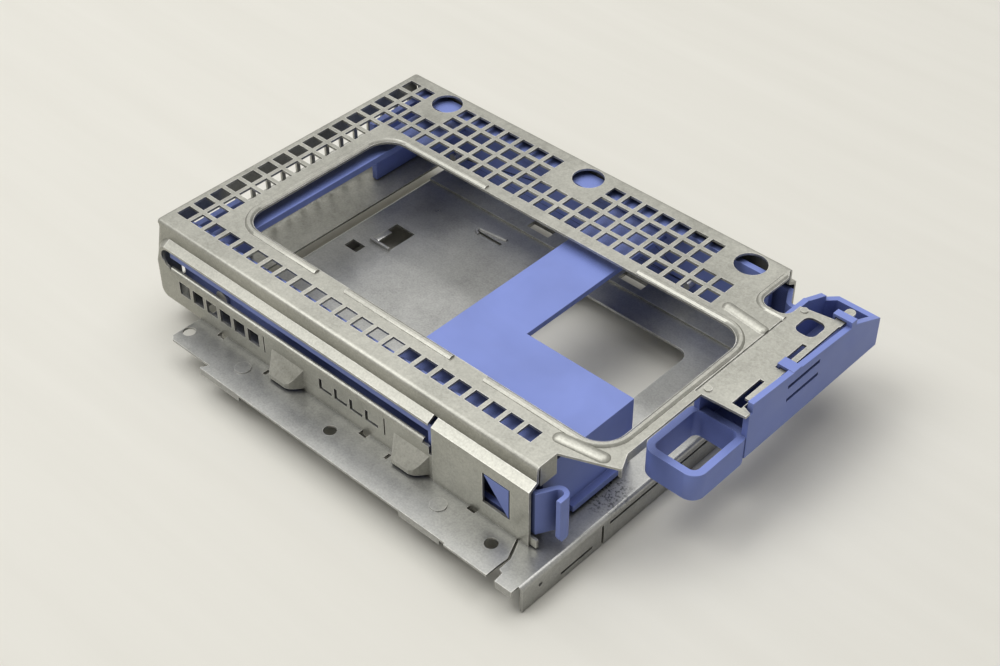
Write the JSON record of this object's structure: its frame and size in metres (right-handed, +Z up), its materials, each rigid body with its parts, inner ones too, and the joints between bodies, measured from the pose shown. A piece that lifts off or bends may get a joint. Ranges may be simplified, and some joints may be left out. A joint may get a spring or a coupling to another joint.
{
  "type": "hard drive bracket",
  "caption": "Perforated folded-steel drive cage on a flanged base plate, with a blue moulded drive carrier latched inside and a blue sliding latch handle at its open end.",
  "frame": {"origin": "middle of the outer box at the foot of the base plate's lips", "axes": "+X along the cage towards the open end with the handle, +Y across it towards the latch end of the handle, +Z up"},
  "size_m": [0.187, 0.1378, 0.0393],
  "materials": {
    "cage_steel": "galvanised sheet, satin",
    "base_steel": "galvanised sheet, satin",
    "blue_plastic": "moulded, satin",
    "pin_steel": "turned",
    "handle_plastic": "moulded, satin"
  },
  "bodies": {
    "bracket": {"cage": "cage_steel", "base_plate": "base_steel", "drive_carrier": "blue_plastic", "drive_pins": "pin_steel"},
    "handle": {"latch_handle": "handle_plastic"}
  },
  "joints": [
    {"name": "handle_slide", "type": "slide", "parent": "bracket", "child": "handle", "axis": [0, 1, 0], "range_m": [0, 0.005]}
  ]
}
